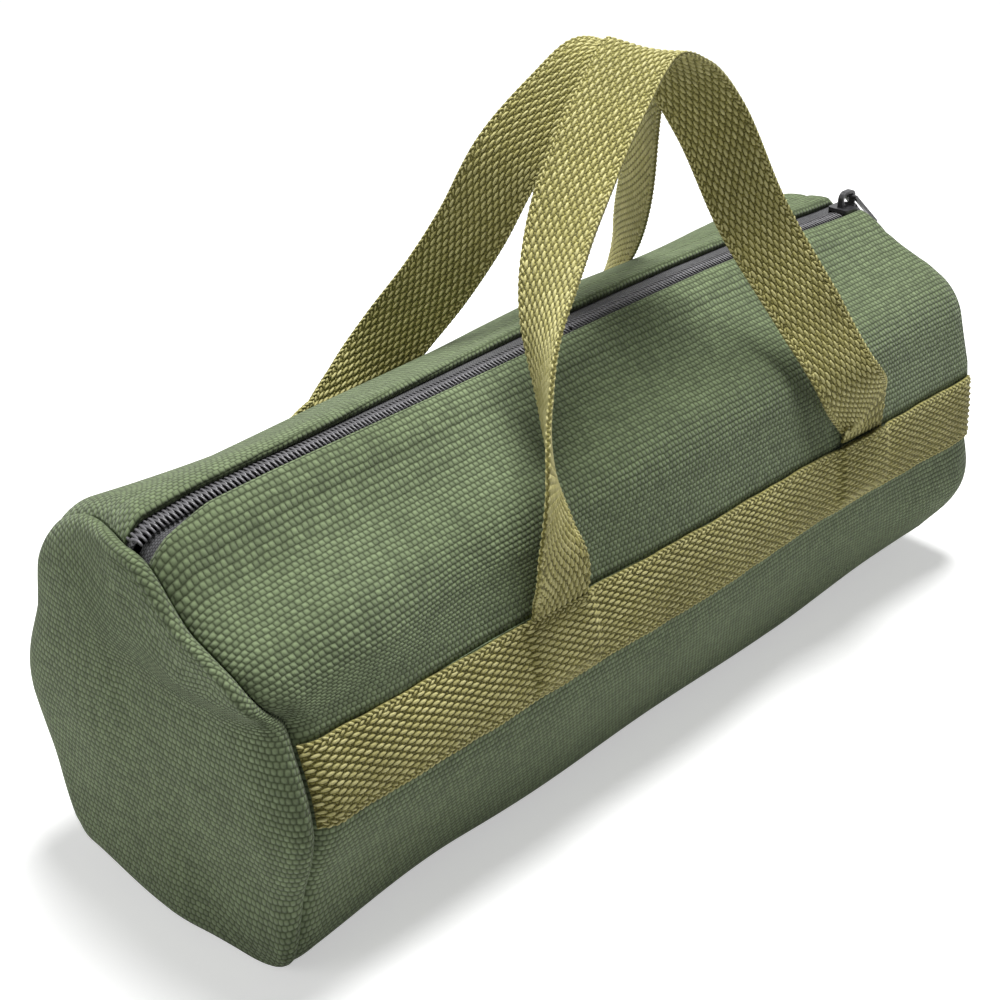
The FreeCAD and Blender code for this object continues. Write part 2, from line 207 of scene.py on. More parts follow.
def cloth_piece(name, points, flat):
    """A mesh of rings of points, the first and last one capped, with flat, their places on the uncut cloth,
    as its UV map."""
    rows, columns = points.shape[:2]
    here = np.arange(rows * columns).reshape(rows, columns)
    there = np.roll(here, -1, axis=1)
    faces = np.stack([here[:-1], there[:-1], there[1:], here[1:]], axis=-1).reshape(-1, 4).tolist()
    faces += [here[0, ::-1].tolist(), here[-1].tolist()]
    mesh = bpy.data.meshes.new(name)
    mesh.from_pydata(points.reshape(-1, 3).tolist(), [], faces)
    corner = np.zeros(len(mesh.loops), np.int32)
    mesh.loops.foreach_get("vertex_index", corner)
    flat_map = mesh.uv_layers.new(name="flat_cloth")
    flat_map.data.foreach_set("uv", flat.reshape(-1, 2)[corner].astype(np.float32).ravel())
    face_outward(mesh)
    mesh.shade_smooth()
    mesh.set_sharp_from_angle(angle=math.radians(55))
    piece = bpy.data.objects.new(name, mesh)
    bpy.context.collection.objects.link(piece)
    return piece


def shade(red, green, blue):
    """A colour as it is read off a screen, turned into the light it stands for."""
    levels = [c / 255 for c in (red, green, blue)]
    return [((c + 0.055) / 1.055) ** 2.4 if c > 0.04 else c / 12.92 for c in levels] + [1]


def wire(tree, node_type, values=(), **settings):
    """One node with its settings, and its inputs set or linked in order (None skips one)."""
    node = tree.nodes.new(node_type)
    for key, value in settings.items():
        setattr(node, key, value)
    inputs = [s for s in node.inputs if s.enabled]
    for socket, value in zip(inputs, values):
        if isinstance(value, bpy.types.NodeSocket):
            tree.links.new(value, socket)
        elif value is not None:
            socket.default_value = value
    return node


def sockets(tree, way, **names):
    """The inputs or the outputs of a group, listed by kind."""
    for kind, labels in names.items():
        for label in labels:
            tree.interface.new_socket(label, in_out=way, socket_type="NodeSocket" + kind)


def new_material(name):
    """A material with its node tree and its shader."""
    material = bpy.data.materials.new(name)
    material.use_nodes = True
    return material, material.node_tree, material.node_tree.nodes["Principled BSDF"]


def maths(tree, operation, *values):
    return wire(tree, "ShaderNodeMath", values, operation=operation).outputs[0]


def noise(tree, place, scale, detail, **settings):
    node = wire(tree, "ShaderNodeTexNoise", (place,), **settings)
    node.inputs["Scale"].default_value, node.inputs["Detail"].default_value = scale, detail
    return node


def weave_group():
    """Heavy plain weave: yarns stand up as rounded pebbles in rows, each row half a step along from the last.
    Gives the height of the cloth, and a tone that changes from yarn to yarn and from pebble to pebble."""
    tree = bpy.data.node_groups.new("pebbled weave", "ShaderNodeTree")
    sockets(tree, "INPUT", Vector=["Flat cloth"], Float=["Along", "Across", "Wander"])
    sockets(tree, "OUTPUT", Float=["Height", "Tone"])
    given = tree.nodes.new("NodeGroupInput")
    pebble_size = wire(tree, "ShaderNodeCombineXYZ", (given.outputs["Along"], given.outputs["Across"], 1.0))
    cloth = given.outputs["Flat cloth"]
    yarns = wire(tree, "ShaderNodeVectorMath", (cloth, pebble_size.outputs[0]), operation="DIVIDE")
    stray = noise(tree, yarns.outputs[0], 0.3, 2.0, noise_dimensions="2D")
    middle = (0.5, 0.5, 0.5)
    centred = wire(tree, "ShaderNodeVectorMath", (stray.outputs["Color"], middle), operation="SUBTRACT")
    drift = wire(tree, "ShaderNodeVectorMath", (centred.outputs[0],), operation="SCALE")
    tree.links.new(maths(tree, "MULTIPLY", given.outputs["Wander"], 4.0), drift.inputs["Scale"])
    moved = wire(tree, "ShaderNodeVectorMath", (yarns.outputs[0], drift.outputs[0]), operation="ADD")
    parts = wire(tree, "ShaderNodeSeparateXYZ", (moved.outputs[0],))
    row = maths(tree, "FLOOR", parts.outputs[1])
    place = maths(tree, "MULTIPLY_ADD", maths(tree, "FLOORED_MODULO", row, 2.0), 0.5, parts.outputs[0])
    waves = []
    for steps in (place, parts.outputs[1]):
        waves.append(maths(tree, "SINE", maths(tree, "MULTIPLY", maths(tree, "FRACT", steps), math.pi)))
    pebble = maths(tree, "POWER", maths(tree, "MULTIPLY", *waves), 0.9)
    cell = wire(tree, "ShaderNodeCombineXYZ", (maths(tree, "FLOOR", place), row, 0.0))
    chance = wire(tree, "ShaderNodeTexWhiteNoise", (cell.outputs[0],), noise_dimensions="2D").outputs[0]
    fibres = noise(tree, yarns.outputs[0], 5.0, 3.0, noise_dimensions="2D")
    proud = maths(tree, "MULTIPLY", pebble, maths(tree, "MULTIPLY_ADD", chance, 0.25, 0.8))
    height = maths(tree, "MULTIPLY_ADD", fibres.outputs[0], 0.16, proud)
    tones = []
    for stretch in ((1.0, 0.06, 1.0), (0.06, 1.0, 1.0)):
        pulled = wire(tree, "ShaderNodeVectorMath", (yarns.outputs[0], stretch), operation="MULTIPLY")
        slub = noise(tree, pulled.outputs[0], 0.9, 2.0, noise_dimensions="2D")
        tones.append(slub.outputs[0])
    tone = maths(tree, "MULTIPLY_ADD", chance, 0.3, maths(tree, "MULTIPLY", maths(tree, "ADD", *tones), 0.35))
    wire(tree, "NodeGroupOutput", (height, tone))
    return tree


pebbled_weave = weave_group()


def fade_group():
    """Sun and handling: slow patches over the cloth where its dye has gone paler."""
    tree = bpy.data.node_groups.new("faded patches", "ShaderNodeTree")
    sockets(tree, "INPUT", Float=["Size"])
    sockets(tree, "OUTPUT", Float=["Patches"])
    given = tree.nodes.new("NodeGroupInput")
    place = tree.nodes.new("ShaderNodeTexCoord")
    patch = wire(tree, "ShaderNodeTexNoise", (place.outputs["Object"],))
    tree.links.new(maths(tree, "DIVIDE", 1.0, given.outputs["Size"]), patch.inputs["Scale"])
    patch.inputs["Detail"].default_value = 3.0
    spread = wire(tree, "ShaderNodeMapRange", (patch.outputs[0], 0.35, 0.65))
    wire(tree, "NodeGroupOutput", (spread.outputs[0],))
    return tree


faded_patches = fade_group()


def woven_material(name, pebble, wander, gap_shade, yarn, pale, bump, patch, rough):
    """Cloth of one weave: yarn colour on the yarns, pale where the dye has faded, and painted shade between
    them.
    """
    material, tree, shader = new_material(name)
    flat = wire(tree, "ShaderNodeUVMap", uv_map="flat_cloth")
    weave = wire(tree, "ShaderNodeGroup", node_tree=pebbled_weave)
    tree.links.new(flat.outputs[0], weave.inputs["Flat cloth"])
    weave.inputs["Along"].default_value, weave.inputs["Across"].default_value = pebble
    weave.inputs["Wander"].default_value = wander
    patches = wire(tree, "ShaderNodeGroup", node_tree=faded_patches)
    patches.inputs["Size"].default_value = patch
    dyed = wire(tree, "ShaderNodeMix", (patches.outputs[0], shade(*yarn), shade(*pale)), data_type="RGBA")
    # Painted shade: where the weave's height is low, between the pebbles, the yarn colour gives way to the
    # darker gap shade.
    lit = wire(tree, "ShaderNodeMapRange", (weave.outputs["Height"], 0.08, 0.66))
    cloth = wire(tree, "ShaderNodeMix", (lit.outputs[0], shade(*gap_shade), dyed.outputs[2]), data_type="RGBA")
    slubs = wire(tree, "ShaderNodeMapRange", (weave.outputs["Tone"], 0.3, 0.7, 0.8, 1.2))
    toned = wire(tree, "ShaderNodeVectorMath", (cloth.outputs[2],), operation="SCALE")
    tree.links.new(slubs.outputs[0], toned.inputs["Scale"])
    tree.links.new(toned.outputs[0], shader.inputs["Base Color"])
    raised = wire(tree, "ShaderNodeBump")
    raised.inputs["Strength"].default_value = 1.0
    raised.inputs["Distance"].default_value = bump
    tree.links.new(weave.outputs["Height"], raised.inputs["Height"])
    tree.links.new(raised.outputs[0], shader.inputs["Normal"])
    shader.inputs["Roughness"].default_value = rough
    shader.inputs["Specular IOR Level"].default_value = 0.2
    shader.inputs["Sheen Weight"].default_value = 0.12
    shader.inputs["Sheen Roughness"].default_value = 0.6
    return material


# The canvas's darker gap colour is painted shade in the hollows between its pebbles.
canvas = woven_material(
    "green canvas", pebble=(0.00180, 0.00200), wander=0.11, gap_shade=(66, 76, 49), yarn=(107, 121, 87),
    pale=(118, 132, 98), bump=0.00045, patch=0.08, rough=0.92,
)
seam_steps = (0.0, 0.0006, 0.0014, 0.0026, 0.0042, 0.006, 0.0075, 0.009)


def along_bag(first, last, spacing):
    """Places along the bag, closer together by its end seams."""
    even = np.linspace(first, last, max(2, round((last - first) / spacing)))
    seams = [end * bag_half - end * step for end in (-1, 1) for step in seam_steps]
    return np.unique(np.round([v for v in [*even, *seams] if first <= v <= last], 5))


def wrap_rows(x, stations):
    """Ring of the body wrap at each x: its outside from the front strip to the rear one, then its inside."""
    sides = np.repeat([front, rear], len(stations))
    around = np.concatenate([stations, stations[::-1]])
    rows, flat = [], []
    for place in x:
        outside = on_cloth(sides, place, around, 0.0)
        inside = on_cloth(sides, place, around, -canvas_thick)
        rows.append(np.concatenate([outside, inside[::-1]]))
        lay = np.stack([np.full(len(around), place), sides * (base_middle - around)], axis=1)
        flat.append(np.concatenate([lay, lay[::-1]]))
    return np.array(rows), np.array(flat)


wrap_stations = np.linspace(strip_top, base_middle - 1e-4, 40)
body = cloth_piece("body_wrap", *wrap_rows(along_bag(-bag_half, bag_half, 0.004), wrap_stations))
body.data.materials.append(canvas)
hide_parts("body_wrap")
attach(body, "bag_shell")


# End panels: canvas caps sewn in at each end. Stitched inside out and turned, their rims puff
# outwards beside the seam and roll over into a nearly flat face.

face_middle = np.array((0.0, 0.062))
face_swell, face_ripple = 0.0014, 0.0005
dent_side, dent_depth = 0.04, 0.004
low_roll_rear, low_roll_drop, towards_front, full_roll = 0.55, 0.40, (-0.06, 0.12), (0.010, 0.045)
shallow_most, shallow_front, shallow_up = 0.6, (0.005, 0.04), (0, 0.055)


def rim(groove, start, reach):
    """Profiles of the outer and inner face of a rim, from its seam to the flat of the end,
    as (in from the outline, out along the bag)."""
    turns = np.concatenate([np.zeros(len(groove)), np.linspace(0, math.pi / 2, 12)])
    roll = turns[len(groove):]
    roll = np.stack([start[0] + reach[0] * (1 - np.cos(roll)), start[1] + reach[1] * np.sin(roll)], axis=1)
    outer = np.concatenate([groove, roll])
    return outer, outer + canvas_thick * np.stack([np.cos(turns), -np.sin(turns)], axis=1)


def end_panel(name, end, profiles, dents):
    """One cap, as rings from the middle of its inner face to the seam and back over its outer face.
    Low down its rim is fuller at the front, and each dent is (side, height, tall, deep)."""
    downwards = np.linspace(0, base_middle, 100, endpoint=False)
    upwards = np.linspace(base_middle, 0, 100, endpoint=False)
    sides = np.repeat([front, rear], 100)
    across, up, across_out, up_out = on_section(np.concatenate([downwards, upwards]))
    dent = sum(
        deep * bell(up, height, tall) * ease(side * sides * across / dent_side)
        for side, height, tall, deep in dents
    )
    low_roll = low_roll_rear - low_roll_drop * ramp(-sides * across, *towards_front)
    full = low_roll + (1 - low_roll) * ramp(up, *full_roll)
    shallow = 1 - shallow_most * ramp(-sides * across, *shallow_front) * (1 - ramp(up, *shallow_up))

    def face_rings(profile):
        """Rings of one face of the cloth from the seam to the middle, and their places on the flat cloth."""
        rings = []
        for inset, depth in profile:
            sunk = inset * full + dent * ease(depth / dent_depth)
            ring = np.stack([sides * (across - across_out * sunk), up - up_out * sunk], axis=1)
            rings.append(np.column_stack([end * (bag_half + depth * shallow), ring]))
        edge = rings[-1]
        spokes = edge[:, 1:] - face_middle
        face_at = end * (bag_half + profile[-1][1])
        for share in np.linspace(1, 0.03, 14)[1:]:
            ripple = np.sin(5 * np.arctan2(*spokes.T) + 9 * share) * share * (1 - share)
            swell = face_swell * (1 - share**2) + face_ripple * ripple
            face_x = face_at + (edge[:, 0] - face_at) * share**2 + end * swell
            rings.append(np.column_stack([face_x, face_middle + spokes * share]))
        placed = slump(np.array(rings))
        steps = np.linalg.norm(np.diff(placed[: len(profile)], axis=0), axis=2)
        rolled = np.concatenate([np.cumsum(steps[::-1], axis=0)[::-1], np.zeros((1, len(edge)))])
        outward = np.stack([sides * across_out, up_out], axis=1)
        flat = edge[:, 1:] + outward * rolled[:, :, None]
        return placed, np.concatenate([flat, [ring[:, 1:] for ring in rings[len(profile):]]])

    (outer, outer_flat), (inner, inner_flat) = (face_rings(profile) for profile in profiles)
    flat = np.concatenate([inner_flat[::-1], outer_flat])
    return cloth_piece(name, np.concatenate([inner[::-1], outer]), flat)


left_rim = rim(
    groove=[(0.0064, -0.0012), (0.0048, -0.0006), (0.0034, 0.0002), (0.0022, 0.0014)],
    start=(0.0014, 0.0030), reach=(0.0200, 0.0080),
)
right_rim = rim(
    groove=[(0.0044, -0.0040), (0.0042, -0.0012), (0.0034, -0.0004), (0.0029, 0.0008)],
    start=(0.0030, 0.0022), reach=(0.0200, 0.0055),
)
left_dents = [(rear, 0.004, 0.012, 0.0040), (rear, 0.112, 0.013, 0.0035), (front, 0.100, 0.016, 0.0012)]

for name, end, profiles, dents in (
    ("left_end_panel", -1, left_rim, left_dents), ("right_end_panel", 1, right_rim, []),
):
    cap = end_panel(name, end, profiles, dents)
    cap.data.materials.append(canvas)
    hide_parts(name)
    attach(cap, "bag_shell")


# Upper panels: the canvas above the strips. Beside the zipper its edge is folded under, so the mouth has
# two thick round lips. Each is made in two halves, and laps behind the body wrap's edge, so that no light
# shows through along that edge.

hem = 0.011
lip_half = bag_half - 0.0005
fine_zone = 0.02
hinge_gap = 0.0003
lap, lap_sunk = 0.005, 1.15 * canvas_thick
lip_apart, front_left_apart, rear_apart = 0.0042, 0.0028, 0.0050
front_parts, rear_parts = (0.148, 0.022), (-0.15, 0.13)
fold_spread, hem_groove, hem_groove_wide = 0.035, 0.0005, 0.0016
front_folds = [(-0.098, 0.016, -0.0016, 0.055), (-0.135, 0.014, 0.0012, 0.06), (-0.045, 0.012, -0.0009, 0.05)]


def lip_gap(side, x):
    """From the middle of the zipper to the folded edge: wider at the front's left end, and along the rear."""
    if side == front:
        return lip_apart + front_left_apart * ramp(-x, *front_parts)
    return lip_apart + rear_apart * ramp(x, *rear_parts)


def lip_rows(side, x):
    """Ring of one lip at each x: its outside from the lap up to the fold, the fold's nose, the hem under it,
    and its inside down again. Each fold of the front is (along, wide, lift, down from the zipper)."""
    rows, flat = [], []
    for place in x:
        fold = lip_gap(side, place) + canvas_thick
        outside = np.concatenate([
            np.linspace(fold, fold + fine_zone, 14),
            np.linspace(fold + fine_zone, strip_top - hinge_gap, 34)[1:],
            strip_top + lap * np.array([0.24, 0.6, 1.0]),
        ])
        dent = sum(
            deep * bell(place, along, wide) * bell(outside, down, fold_spread)
            for along, wide, deep, down in front_folds
        )
        groove = hem_groove * bell(outside - fold, hem, hem_groove_wide)
        lift = (dent if side == front else 0) - groove - lap_sunk * (outside > strip_top)
        turns = np.linspace(0, math.pi, 9)[1:-1]
        nose_at, nose_out = fold - canvas_thick * np.sin(turns), -canvas_thick * (1 - np.cos(turns))
        under = np.linspace(fold, fold + hem, 8)
        past_hem = outside > fold + hem
        inner, inner_out = outside[past_hem], lift[past_hem] - canvas_thick
        stations = np.concatenate([outside[::-1], nose_at, under, inner])
        outs = np.concatenate([lift[::-1], nose_out, np.full(8, -2 * canvas_thick), inner_out])
        rows.append(on_cloth(side, place, stations, outs))
        run = np.concatenate([outside[::-1], fold - nose_out - canvas_thick, 2 * fold - under, inner])
        flat.append(np.stack([np.full(len(run), place), side * (base_middle - run)], axis=1))
    return np.array(rows), np.array(flat)


halves = (("left", -1), ("right", 1))
shut_end, open_from, mouth_up = 0.004, 0.055, 0.1


def bend_open(piece, half):
    """Bakes the piece's place into its mesh. The shut end and the opened middle are worked out but left
    unused.
    """
    shut, opened = (half * (bag_half - shut_end), 0, mouth_up), (half * open_from, 0, mouth_up)
    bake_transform(piece)
    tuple(shut)
    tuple(opened)


for side, name in ((front, "front"), (rear, "rear")):
    for half_name, half in halves:
        x = along_bag(*sorted((0, half * lip_half)), 0.003)
        lip = cloth_piece(f"{name}_upper_panel_{half_name}", *lip_rows(side, x))
        lip.data.materials.append(canvas)
        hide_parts(name + "_upper_panel")
        bend_open(lip, half)


# Zipper tapes: dark woven tape sewn under each folded edge.
# It shows as a grey band on the rear side, and as a small triangle at the front's left end.

tape_thick = 0.0006
tape_edge = 0.0015
tape_wide = 0.016
# The tape's dark gap colour is painted shade between its yarns.
tape_cloth = woven_material(
    "zipper tape", pebble=(0.0009, 0.0007), wander=0.1, gap_shade=(34, 34, 36), yarn=(86, 86, 88),
    pale=(94, 94, 95), bump=0.00012, patch=0.03, rough=0.8,
)

for side, name in ((front, "front"), (rear, "rear")):
    for half_name, half in halves:
        x = along_bag(*sorted((0, half * lip_half)), 0.004)[:, None]
        run = np.linspace(tape_edge, tape_wide, 12)
        around = np.concatenate([run, run[::-1]])
        outs = np.repeat([-2 * canvas_thick, -2 * canvas_thick - tape_thick], len(run))
        rows = on_cloth(side, x, around, outs)
        flat = np.stack(np.broadcast_arrays(x, around), axis=-1)
        tape = cloth_piece(f"{name}_zipper_tape_{half_name}", rows, flat)
        tape.data.materials.append(tape_cloth)
        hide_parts(name + "_zipper_tape")
        bend_open(tape, half)


# Zipper coils: a nylon thread wound in a flat helix along the edge of each tape. The two helices
# mesh half a turn apart.

coil_pitch = 0.0015
coil_thread = 0.00034
coil_from, coil_to = -0.0012, 0.0031
coil_low, coil_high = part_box("front_zipper_coil")[0].z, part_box("front_zipper_coil")[1].z
coil_reach, coil_rise = (coil_to - coil_from) / 2 - coil_thread, (coil_high - coil_low) / 2 - coil_thread


def finished(tree, given, geometry):
    """A geometry tree with its end: all made one smooth mesh, in the finish that it is given."""
    for step in ("RealizeInstances", "SetShadeSmooth", "SetMaterial"):
        node = tree.nodes.new("GeometryNode" + step)
        tree.links.new(geometry, node.inputs["Geometry"])
        geometry = node.outputs[0]
    tree.links.new(given.outputs["Finish"], node.inputs["Material"])
    wire(tree, "NodeGroupOutput", (geometry,))
    return tree


def coil_tree():
    """A thread wound in a flat helix of a number of turns over a length."""
    tree = bpy.data.node_groups.new("wound coil", "GeometryNodeTree")
    sockets(tree, "INPUT", Geometry=["Geometry"], Float=["Turns", "Length", "Thread"], Material=["Finish"])
    sockets(tree, "OUTPUT", Geometry=["Geometry"])
    given = tree.nodes.new("NodeGroupInput")
    spiral = tree.nodes.new("GeometryNodeCurveSpiral")
    spiral.inputs["Resolution"].default_value = 12
    spiral.inputs["Start Radius"].default_value = 1
    spiral.inputs["End Radius"].default_value = 1
    tree.links.new(given.outputs["Turns"], spiral.inputs["Rotations"])
    tree.links.new(given.outputs["Length"], spiral.inputs["Height"])
    shape = wire(tree, "ShaderNodeCombineXYZ", (coil_reach, coil_rise, 1.0))
    flattened = tree.nodes.new("GeometryNodeTransform")
    tree.links.new(spiral.outputs[0], flattened.inputs["Geometry"])
    tree.links.new(shape.outputs[0], flattened.inputs["Scale"])
    thread = tree.nodes.new("GeometryNodeCurvePrimitiveCircle")
    thread.inputs["Resolution"].default_value = 6
    tree.links.new(given.outputs["Thread"], thread.inputs["Radius"])
    swept = tree.nodes.new("GeometryNodeCurveToMesh")
    tree.links.new(flattened.outputs[0], swept.inputs["Curve"])
    tree.links.new(thread.outputs[0], swept.inputs["Profile Curve"])
    swept.inputs["Fill Caps"].default_value = True
    return finished(tree, given, swept.outputs[0])


wound_coil = coil_tree()


def grown(name, seed_mesh, tree, values):
    """The plain mesh that a geometry tree makes from a seed mesh, as an object of its own."""
    piece = bpy.data.objects.new(name, seed_mesh)
    bpy.context.collection.objects.link(piece)
    made = piece.modifiers.new("made", "NODES")
    made.node_group = tree
    for item in tree.interface.items_tree:
        if item.in_out == "INPUT" and item.name in values:
            made[item.identifier] = values[item.name]
    bpy.context.view_layer.update()
    mesh = bpy.data.meshes.new_from_object(piece.evaluated_get(bpy.context.evaluated_depsgraph_get()))
    piece.modifiers.remove(made)
    piece.data = mesh
    mesh.name = name
    return piece


def plastic(name, colour, rough, grain):
    """Dyed nylon or lacquered metal: one colour, with a fine uneven skin that breaks up its gloss."""
    material, tree, shader = new_material(name)
    place = tree.nodes.new("ShaderNodeTexCoord")
    skin = noise(tree, place.outputs["Object"], 1 / grain, 4.0)
    tint = wire(tree, "ShaderNodeMapRange", (skin.outputs[0], 0.3, 0.7, 0.75, 1.25))
    mixed = wire(tree, "ShaderNodeVectorMath", (shade(*colour)[:3],), operation="SCALE")
    tree.links.new(tint.outputs[0], mixed.inputs["Scale"])
    tree.links.new(mixed.outputs[0], shader.inputs["Base Color"])
    gloss = wire(tree, "ShaderNodeMapRange", (skin.outputs[0], 0.3, 0.7, rough - 0.08, rough + 0.08))
    tree.links.new(gloss.outputs[0], shader.inputs["Roughness"])
    return material


nylon = plastic("zipper nylon", (88, 87, 90), 0.4, 0.002)

for side, name, lead in ((front, "front", 0.0), (rear, "rear", 0.5)):
    low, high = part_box(f"{name}_zipper_coil")[0].x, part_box(f"{name}_zipper_coil")[1].x
    for half_name, half in halves:
        first, last = (low, 0.0) if half < 0 else (0.0, high)
        long = last - first
        coil = grown(
            f"{name}_zipper_coil_{half_name}", bpy.data.meshes.new("seed"), wound_coil,
            {"Turns": long / coil_pitch, "Length": long, "Thread": coil_thread, "Finish": nylon},
        )
        helix = np.array([v.co for v in coil.data.vertices])
        turn = 2 * math.pi * (lead + (first / coil_pitch) % 1)
        cos, sin = math.cos(turn), math.sin(turn)
        spun_y = helix[:, 0] * cos - helix[:, 1] * coil_reach / coil_rise * sin
        spun_z = helix[:, 0] * coil_rise / coil_reach * sin + helix[:, 1] * cos
        across, up = (coil_from + coil_to) / 2 + spun_y, (coil_low + coil_high) / 2 + spun_z
        laid = slump(np.stack([first + helix[:, 2], side * across, up], axis=1))
        coil.data.vertices.foreach_set("co", laid.astype(np.float32).ravel())
        face_outward(coil.data)
        coil.data.update()
        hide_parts(name + "_zipper_coil")
        bend_open(coil, half)


# Side strips: 25 mm olive webbing sewn flat along each side, its ends caught in the end seams.
# Thick warp yarns run along it, each over and under the picks, so rounded crowns stand in staggered rows.

webbing_wide = 0.025
webbing_thick = 0.0016
crown_rows = 17
crown_repeat = 0.0046
crown_long, crown_high, crown_fill = 0.0035, 0.0013, 0.96
selvage_wide = 0.0021
selvage_crown = (0.68, 0.72, 0.8)
strap_tuck = 0.021
foot_left, foot_right = (sum(c.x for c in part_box(f"front_{end}_strap_end")) / 2 for end in ("left", "right"))


def crown_tree():
    """A low rounded yarn crown on every point, lying along the yarn and standing off the webbing's face."""
    tree = bpy.data.node_groups.new("yarn crowns", "GeometryNodeTree")
    sockets(tree, "INPUT", Geometry=["Geometry"], Float=["Length", "Width", "Height"], Material=["Finish"])
    sockets(tree, "OUTPUT", Geometry=["Geometry"])
    given = tree.nodes.new("NodeGroupInput")
    crown = tree.nodes.new("GeometryNodeMeshUVSphere")
    crown.inputs["Segments"].default_value = 7
    crown.inputs["Rings"].default_value = 4
    crown.inputs["Radius"].default_value = 0.5
    vectors = []
    for name in ("face", "yarn", "size"):
        read = tree.nodes.new("GeometryNodeInputNamedAttribute")
        read.data_type = "FLOAT_VECTOR"
        read.inputs["Name"].default_value = name
        vectors.append(next(s for s in read.outputs if s.enabled))
    turn = tree.nodes.new("FunctionNodeAxesToRotation")
    turn.primary_axis, turn.secondary_axis = "Z", "X"
    tree.links.new(vectors[0], turn.inputs["Primary Axis"])
    tree.links.new(vectors[1], turn.inputs["Secondary Axis"])
    size = tree.nodes.new("ShaderNodeCombineXYZ")
    for name, socket in zip(("Length", "Width", "Height"), size.inputs):
        tree.links.new(given.outputs[name], socket)
    sized = wire(tree, "ShaderNodeVectorMath", (size.outputs[0], vectors[2]), operation="MULTIPLY")
    placed = tree.nodes.new("GeometryNodeInstanceOnPoints")
    tree.links.new(given.outputs["Geometry"], placed.inputs["Points"])
    tree.links.new(crown.outputs[0], placed.inputs["Instance"])
    tree.links.new(turn.outputs[0], placed.inputs["Rotation"])
    tree.links.new(sized.outputs[0], placed.inputs["Scale"])
    tone = tree.nodes.new("FunctionNodeRandomValue")
    tone.inputs["Seed"].default_value = 7
    marked = tree.nodes.new("GeometryNodeStoreNamedAttribute")
    marked.domain = "INSTANCE"
    marked.inputs["Name"].default_value = "tone"
    tree.links.new(placed.outputs[0], marked.inputs["Geometry"])
    tree.links.new(next(s for s in tone.outputs if s.enabled), marked.inputs["Value"])
    return finished(tree, given, marked.outputs[0])


yarn_crowns = crown_tree()


def yarn_material():
    """Olive warp yarn: slightly shiny filament, its tone changing from crown to crown and in patches."""
    material, tree, shader = new_material("olive yarn")
    tone = wire(tree, "ShaderNodeAttribute", attribute_name="tone", attribute_type="GEOMETRY")
    patches = wire(tree, "ShaderNodeGroup", node_tree=faded_patches)
    patches.inputs["Size"].default_value = 0.03
    dark, light = shade(172, 166, 102), shade(198, 192, 132)
    dyed = wire(tree, "ShaderNodeMix", (tone.outputs["Fac"], dark, light), data_type="RGBA")
    worn = wire(tree, "ShaderNodeMapRange", (patches.outputs[0], 0.0, 1.0, 0.88, 1.08))
    toned = wire(tree, "ShaderNodeVectorMath", (dyed.outputs[2],), operation="SCALE")
    tree.links.new(worn.outputs[0], toned.inputs["Scale"])
    tree.links.new(toned.outputs[0], shader.inputs["Base Color"])
    place = tree.nodes.new("ShaderNodeTexCoord")
    strands = wire(tree, "ShaderNodeTexNoise", (place.outputs["Object"],))
    strands.inputs["Scale"].default_value = 2600
    raised = wire(tree, "ShaderNodeBump")
    raised.inputs["Distance"].default_value = 0.0001
    tree.links.new(strands.outputs[0], raised.inputs["Height"])
    tree.links.new(raised.outputs[0], shader.inputs["Normal"])
    shader.inputs["Roughness"].default_value = 0.55
    shader.inputs["Specular IOR Level"].default_value = 0.35
    shader.inputs["Sheen Weight"].default_value = 0.1
    return material


olive_yarn = yarn_material()
# Painted shade: the webbing's ground between the crowns is coloured darker than their yarn, and darker still
# in its own gaps, standing for the shade among the crowns on the webbing's own olive.
olive_ground_shaded = woven_material(
    "olive ground, painted shade", pebble=(0.0012, 0.0009), wander=0.1, gap_shade=(90, 86, 37), yarn=(136, 131, 69),
    pale=(146, 141, 78), bump=0.0003, patch=0.04, rough=0.8,
)


def surface_frame(lay, along, across):
    """Points of a webbing's middle surface, with the yarn's direction and the way off its outer face."""
    step = 0.0002
    yarn = lay(along + step, across) - lay(along - step, across)
    width = lay(along, across + step) - lay(along, across - step)
    face = np.cross(yarn, width)
    yarn, face = (v / np.linalg.norm(v, axis=-1)[..., None] for v in (yarn, face))
    return lay(along, across), yarn, face


